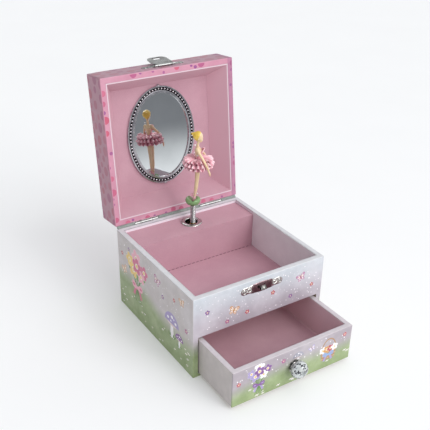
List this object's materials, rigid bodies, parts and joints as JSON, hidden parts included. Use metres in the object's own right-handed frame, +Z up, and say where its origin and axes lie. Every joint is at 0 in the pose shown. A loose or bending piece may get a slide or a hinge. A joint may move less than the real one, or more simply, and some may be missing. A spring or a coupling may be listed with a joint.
{
  "type": "musical jewellery box",
  "caption": "Paper-covered musical jewellery box with a hinged mirror lid, a drawer with a crystal knob, and a wind-up movement that turns a dancer on a folding spring post.",
  "frame": {"origin": "middle of the box body's underside, on the surface it stands on", "axes": "+X to the right seen from the front, +Y to the back where the lid is hinged, +Z up"},
  "size_m": [0.15, 0.2723, 0.2447],
  "materials": {
    "board_paper": "printed paper over board, pale lilac sky with small motifs, satin",
    "meadow_paper": "printed paper over board, green",
    "plain_board": "bare grey-brown board",
    "pink_flock": "short pink flock on paper",
    "pale_lining": "plain pale lilac lining paper",
    "lid_paper": "pink paper with rose dots, satin",
    "nickel": "bright nickel plate",
    "steel": "plain steel",
    "cast": "cast and tumbled",
    "brass": "turned brass",
    "mirror": "silvered glass",
    "silver_plastic": "silver-plated stamping",
    "crystal": "clear cut acrylic, polished",
    "drawer_paper": "pale paper over board",
    "pad_green": "moulded green plastic",
    "skin": "moulded skin-coloured plastic",
    "hair": "moulded yellow plastic",
    "tutu": "thin pink satin, gathered"
  },
  "bodies": {
    "box": {"left_wall": "board_paper", "right_wall": "board_paper", "front_wall": "board_paper", "rear_wall": "board_paper", "base_board": "meadow_paper", "compartment_floor": "plain_board", "well_board": "plain_board", "shelf_board": "plain_board", "shelf_lining": "pink_flock", "floor_lining": "pink_flock", "wall_lining": "pale_lining", "shelf_ring": "nickel", "catch_plate": "nickel", "catch_nails": "nickel", "left_body_leaf": "nickel", "right_body_leaf": "nickel", "left_hinge_pin": "nickel", "right_hinge_pin": "nickel", "body_leaf_nails": "nickel", "bedplate": "cast", "comb": "steel", "comb_screws": "steel", "governor_frame": "steel", "movement_screws": "steel"},
    "lid": {"lid_front": "lid_paper", "lid_rear": "lid_paper", "lid_left": "lid_paper", "lid_right": "lid_paper", "lid_top": "lid_paper", "lid_recess": "pink_flock", "mirror_glass": "mirror", "mirror_frame": "silver_plastic", "left_lid_leaf": "nickel", "right_lid_leaf": "nickel", "lid_leaf_nails": "nickel", "latch_plate": "nickel", "latch_nails": "nickel", "latch_pin": "nickel"},
    "flap": {"latch_flap": "nickel"},
    "drawer": {"drawer_front": "drawer_paper", "drawer_left": "drawer_paper", "drawer_right": "drawer_paper", "drawer_back": "drawer_paper", "drawer_floor": "plain_board", "drawer_lining": "pink_flock", "crystal_knob": "crystal", "knob_rosette": "nickel", "knob_screw": "steel"},
    "key": {"winding_key": "nickel", "winding_arbor": "steel"},
    "barrel": {"spring_barrel": "brass"},
    "cylinder": {"music_cylinder": "brass", "spindle_socket": "brass"},
    "governor_shaft": {"governor_wheel": "brass"},
    "fan": {"governor_fan": "brass"},
    "post": {"post_spring": "nickel"},
    "dancer": {"dancer_pad": "pad_green", "dancer_figure": "skin", "dancer_hair": "hair", "dancer_skirt": "tutu"}
  },
  "joints": [
    {"name": "lid_hinge", "type": "hinge", "parent": "box", "child": "lid", "pos_m": [0, 0.0782, 0.0883], "axis": [1, 0, 0], "range_deg": [0, 96]},
    {"name": "latch_hinge", "type": "hinge", "parent": "lid", "child": "flap", "pos_m": [0, 0.10268, 0.24279], "axis": [1, 0, 0], "range_deg": [0, 170]},
    {"name": "drawer_slide", "type": "slide", "parent": "box", "child": "drawer", "axis": [0, -1, 0], "range_m": [-0.056, 0.034]},
    {"name": "key_turn", "type": "hinge", "parent": "box", "child": "key", "pos_m": [0.0045, 0.076, 0.03], "axis": [0, 1, 0], "continuous": true},
    {"name": "cylinder_spin", "type": "hinge", "parent": "box", "child": "cylinder", "pos_m": [0.0045, 0.056, 0.0565], "axis": [0, 0, 1], "continuous": true},
    {"name": "barrel_spin", "type": "hinge", "parent": "box", "child": "barrel", "pos_m": [0.0045, 0.064, 0.03], "axis": [0, 1, 0], "continuous": true},
    {"name": "governor_spin", "type": "hinge", "parent": "box", "child": "governor_shaft", "pos_m": [0.0141, 0.056, 0.0676], "axis": [0, 0, 1], "continuous": true},
    {"name": "fan_spin", "type": "hinge", "parent": "box", "child": "fan", "pos_m": [0.02005, 0.056, 0.0709], "axis": [0, 1, 0], "continuous": true},
    {"name": "post_bend", "type": "hinge", "parent": "box", "child": "post", "pos_m": [0.0045, 0.056, 0.097], "axis": [1, 0, 0], "range_deg": [0, 102], "deforming": ["post_spring"]},
    {"name": "dancer_spin", "type": "hinge", "parent": "post", "child": "dancer", "pos_m": [0.0045, 0.056, 0.113], "axis": [0, 0, 1], "continuous": true}
  ],
  "couplings": [
    {"joint": "barrel_spin", "follows": "cylinder_spin", "ratio": -0.16667},
    {"joint": "governor_spin", "follows": "cylinder_spin", "ratio": -3.75},
    {"joint": "fan_spin", "follows": "cylinder_spin", "ratio": 75},
    {"joint": "dancer_spin", "follows": "cylinder_spin", "ratio": 1},
    {"joint": "post_bend", "follows": "lid_hinge", "ratio": 1.0625}
  ]
}
